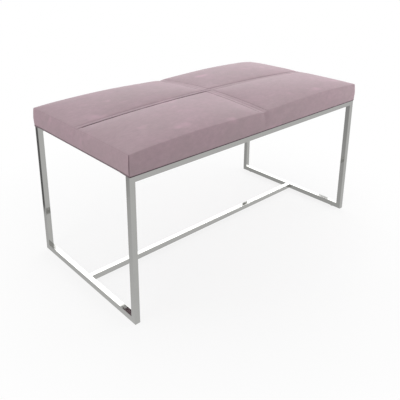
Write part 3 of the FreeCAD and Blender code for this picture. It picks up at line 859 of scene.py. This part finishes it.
class BENCH_OT_lining(bpy.types.Operator):
    """Stretch the lining across the underside of the seat"""
    bl_idname = "bench.lining"
    bl_label = "Lining"

    def execute(self, context):
        trim = context.scene.bench_trim
        wide, deep = LINING_HIGH.x + trim.lining_edge, LINING_HIGH.y + trim.lining_edge
        clear_selection()
        bpy.ops.mesh.primitive_grid_add(x_subdivisions=120, y_subdivisions=60, size=2)
        lining = bpy.context.object
        lining.name = lining.data.name = "dust_lining"
        points = coordinates(lining)
        x, y = points[:, 0] * wide, points[:, 1] * deep
        from_edge = np.minimum(wide - np.abs(x), deep - np.abs(y))
        pull = np.clip(1 - from_edge / TUCK_REACH, 0, 1)
        turns = 2 * np.pi / trim.staple_pitch
        tuck = 0.048 * MM * pull * (np.sin(turns * x) + np.sin(turns * y))
        sag = 0.04 * MM * np.sin(7.1 * x + 2.3 * y) * np.sin(11.0 * y + 1.0) * (1 - pull)
        set_coordinates(lining, np.stack([x, y, RAIL_TOP + LINING_RISE + sag - tuck], axis=-1))
        make_active(lining)
        bpy.ops.object.shade_smooth()
        finish_piece(lining, lining_material(context.scene.bench_colours))
        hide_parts("dust_cover")
        return {"FINISHED"}


def one_staple(sizes):
    """The crown of one staple along X, modelled once: its points and faces."""
    clear_selection()
    bpy.ops.mesh.primitive_cube_add(size=1)
    wire = bpy.context.object
    bpy.ops.object.mode_set(mode="EDIT")
    bpy.ops.mesh.select_all(action="SELECT")
    bpy.ops.transform.resize(value=(sizes.staple_width, *STAPLE_WIRE), center_override=(0, 0, 0))
    bpy.ops.mesh.bevel(offset=STAPLE_BEVEL, segments=1, affect="EDGES")
    bpy.ops.object.mode_set(mode="OBJECT")
    return take_shape(wire)


def near_tab(x, y):
    """Whether a place under the seat is on or close to a tab."""
    return any(low.x - TAB_CLEARANCE < x < high.x + TAB_CLEARANCE
               and low.y - TAB_CLEARANCE < y < high.y + TAB_CLEARANCE for low, high in TABS)


class BENCH_OT_staples(bpy.types.Operator):
    """Drive a row of staples round the edge of the lining"""
    bl_idname = "bench.staples"
    bl_label = "Staples"

    def execute(self, context):
        trim = context.scene.bench_trim
        places = []
        for lengthwise, half, edge in ((True, LINING_HIGH.x, LINING_HIGH.y), (False, LINING_HIGH.y, LINING_HIGH.x)):
            count = int((half - STAPLE_MARGIN) / trim.staple_pitch)
            for side in (-1, 1):
                for k in range(-count, count + 1):
                    along, across = k * trim.staple_pitch, side * (edge - STAPLE_INSET)
                    x, y = (along, across) if lengthwise else (across, along)
                    if near_tab(x, y):
                        continue
                    turn = STAPLE_LEAN * math.sin(5.3 * k + 2.1 * side) + (0.0 if lengthwise else math.pi / 2)
                    rows = np.array(Matrix.Rotation(turn, 3, "Z").transposed())
                    places.append((rows, np.array([x, y, RAIL_TOP + STAPLE_RISE])))
        staples = copies("lining_staples", one_staple(trim), places)
        finish_piece(staples, zinc_material(context.scene.bench_colours))
        return {"FINISHED"}


class BENCH_OT_frame_finishes(bpy.types.Operator):
    """Give the tubes, glides, fasteners and deck their finishes"""
    bl_idname = "bench.frame_finishes"
    bl_label = "Frame Finishes"

    def execute(self, context):
        colours = context.scene.bench_colours
        finishes = {
            "chrome_tube": chrome_material(colours), "glide_nylon": nylon_material(colours),
            "fastener_steel": zinc_material(colours),
            "plywood": plywood_material(colours)}
        for entry in frame["record"]["subparts"]:
            finish = finishes.get(entry["material_slot"])
            if finish:
                node = frame["nodes"][entry["node"]]
                if not node.material_slots:
                    node.data.materials.append(finish)
                for slot in node.material_slots:
                    slot.material = finish
        return {"FINISHED"}


def floor_material():
    """Pale floor: shadowed near the bench, plain white to the camera further out."""
    material = bpy.data.materials.new("pale_floor")
    material.use_nodes = True
    tree = material.node_tree
    shader = tree.nodes["Principled BSDF"]
    shader.inputs["Roughness"].default_value = 0.9
    shader.inputs["Specular IOR Level"].default_value = 0.0
    reach = tree.nodes.new("ShaderNodeVectorMath")
    reach.operation = "LENGTH"
    tree.links.new(tree.nodes.new("ShaderNodeTexCoord").outputs["Object"], reach.inputs[0])
    seen = tree.nodes.new("ShaderNodeLightPath").outputs["Is Camera Ray"]
    far = maths(tree, "MULTIPLY", seen, span(tree, reach.outputs["Value"], 0.4, 0.95, 0.80, 1.0))
    tone = blend(tree, seen, (0.74, 0.74, 0.74), (0.95, 0.95, 0.95))
    tree.links.new(tone, shader.inputs["Base Color"])
    white = tree.nodes.new("ShaderNodeEmission")
    mixed = tree.nodes.new("ShaderNodeMixShader")
    tree.links.new(far, mixed.inputs["Fac"])
    tree.links.new(shader.outputs["BSDF"], mixed.inputs[1])
    tree.links.new(white.outputs["Emission"], mixed.inputs[2])
    tree.links.new(mixed.outputs["Shader"], tree.nodes["Material Output"].inputs["Surface"])
    return material


def soft_lamp(name, place, aim, size, power):
    """A rectangular area lamp at a place, turned to a point."""
    lamp = bpy.data.lights.new(name, "AREA")
    lamp.shape = "RECTANGLE"
    lamp.size, lamp.size_y = size
    lamp.energy = power
    holder = bpy.data.objects.new(name, lamp)
    holder.location = place
    holder.rotation_euler = (Vector(aim) - Vector(place)).to_track_quat("-Z", "Y").to_euler()
    bpy.context.scene.collection.objects.link(holder)


def studio_world():
    """White surroundings; in reflections greyer from below, and darker there towards the left rear."""
    world = bpy.data.worlds.new("white_studio")
    world.use_nodes = True
    tree = world.node_tree
    rays = tree.nodes.new("ShaderNodeLightPath").outputs
    mirrored = maths(tree, "MAXIMUM", rays["Is Glossy Ray"], rays["Is Transmission Ray"])
    way = axes(tree, tree.nodes.new("ShaderNodeTexCoord").outputs["Generated"])
    left_rear = maths(tree, "MULTIPLY", span(tree, way["X"], -0.30, -0.05, 1.0, 0.0), span(tree, way["Y"], 0.0, 0.3))
    dim = maths(tree, "MULTIPLY", left_rear, span(tree, way["Z"], -0.65, -0.27, 0.0, 0.38))
    rear = maths(tree, "MULTIPLY", left_rear, span(tree, way["Y"], 0.70, 0.80))
    dark = maths(tree, "MULTIPLY", rear, span(tree, way["Z"], -0.475, -0.455, 0.0, 0.66))
    below = maths(tree, "SUBTRACT", 0.83, maths(tree, "MAXIMUM", dim, dark))
    shown = maths(tree, "MAXIMUM", span(tree, way["Z"], -0.05, 0.02), below)
    strength = maths(tree, "MAXIMUM", span(tree, mirrored, 0.0, 1.0, 0.45, 0.0),
                     maths(tree, "MULTIPLY", mirrored, shown))
    strength = maths(tree, "MAXIMUM", rays["Is Camera Ray"], strength)
    background = tree.nodes["Background"]
    background.inputs["Color"].default_value = (1.0, 1.0, 1.0, 1.0)
    tree.links.new(strength, background.inputs["Strength"])
    return world


def photo_camera():
    """The camera at the photo's viewing angle."""
    camera = bpy.data.cameras.new("photo_camera")
    camera.sensor_width = CAMERA_SENSOR
    camera.lens = CAMERA_LENS
    camera.shift_x, camera.shift_y = CAMERA_SHIFT
    holder = bpy.data.objects.new("photo_camera", camera)
    turn = Matrix((CAMERA_RIGHT, CAMERA_UP, CAMERA_BACK)).transposed().to_4x4()
    holder.matrix_world = Matrix.Translation(CAMERA_PLACE) @ turn
    bpy.context.scene.collection.objects.link(holder)
    return holder


class BENCH_OT_stage(bpy.types.Operator):
    """Set up the floor, the soft studio light and the camera"""
    bl_idname = "bench.stage"
    bl_label = "Stage"

    def execute(self, context):
        scene = context.scene
        scene.view_settings.view_transform = "Standard"
        clear_selection()
        bpy.ops.mesh.primitive_circle_add(vertices=96, radius=14.0, fill_type="NGON")
        floor = bpy.context.object
        floor.name = floor.data.name = "studio_floor"
        floor.data.materials.append(floor_material())
        # The tubes mirror the world in place of the floor
        floor.visible_glossy = False
        scene.world = studio_world()
        for lamp in LAMPS:
            soft_lamp(*lamp)
        scene.camera = photo_camera()
        return {"FINISHED"}


STEPS = (BENCH_OT_seat_cushion, BENCH_OT_seam_stitching, BENCH_OT_lining, BENCH_OT_staples,
         BENCH_OT_frame_finishes, BENCH_OT_stage)


class BENCH_PT_panel(bpy.types.Panel):
    """Sidebar panel that lists the steps of the bench"""
    bl_idname = "BENCH_PT_panel"
    bl_label = "Upholstered Bench"
    bl_space_type = "VIEW_3D"
    bl_region_type = "UI"
    bl_category = "Bench"

    def draw(self, context):
        for group in (context.scene.bench_seat, context.scene.bench_trim, context.scene.bench_colours):
            box = self.layout.box()
            for name in group.__annotations__:
                box.prop(group, name)
        for step in STEPS:
            self.layout.operator(step.bl_idname)


CLASSES = (SeatSizes, TrimSizes, BenchColours, *STEPS, BENCH_PT_panel)


def register():
    """Make the sizes, colours, steps and panel known to Blender."""
    for item in CLASSES:
        bpy.utils.register_class(item)
    bpy.types.Scene.bench_seat = bpy.props.PointerProperty(type=SeatSizes)
    bpy.types.Scene.bench_trim = bpy.props.PointerProperty(type=TrimSizes)
    bpy.types.Scene.bench_colours = bpy.props.PointerProperty(type=BenchColours)


def unregister():
    """Take them away again."""
    del bpy.types.Scene.bench_colours
    del bpy.types.Scene.bench_trim
    del bpy.types.Scene.bench_seat
    for item in reversed(CLASSES):
        bpy.utils.unregister_class(item)


def main():
    """Make the bench."""
    register()
    bpy.ops.bench.seat_cushion()
    bpy.ops.bench.seam_stitching()
    bpy.ops.bench.lining()
    bpy.ops.bench.staples()
    bpy.ops.bench.frame_finishes()
    bpy.ops.bench.stage()


if __name__ == "__main__":
    main()
